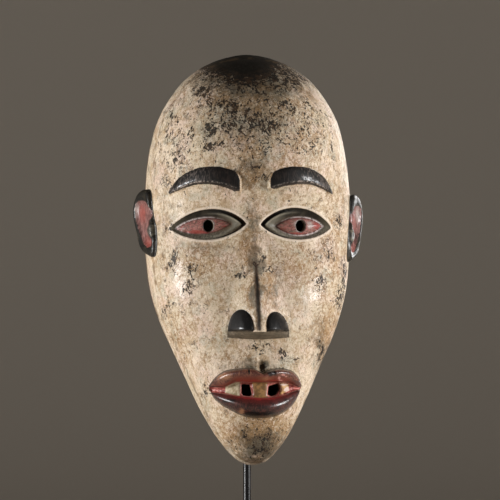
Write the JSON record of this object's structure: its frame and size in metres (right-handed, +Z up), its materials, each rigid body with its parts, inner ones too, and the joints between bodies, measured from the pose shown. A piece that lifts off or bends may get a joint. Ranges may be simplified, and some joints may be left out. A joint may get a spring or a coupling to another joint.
{
  "type": "kongo mask",
  "caption": "Carved and painted wooden face mask, long and egg-shaped, hollow behind, with pierced pupils and mouth, on a black rod with a flat square foot.",
  "frame": {"origin": "centre of the underside of the stand's foot", "axes": "+Z up; the mask faces -Y; +X is to the right of someone who looks at the face"},
  "size_m": [0.1809, 0.1416, 0.42],
  "materials": {
    "painted_wood": "worn cream paint over dark wood, semi-gloss",
    "black_rod": "gloss black lacquer",
    "black_plate": "satin black lacquer"
  },
  "bodies": {
    "root": {"mask": "painted_wood", "stand_rod": "black_rod", "stand_base": "black_plate"}
  },
  "joints": []
}
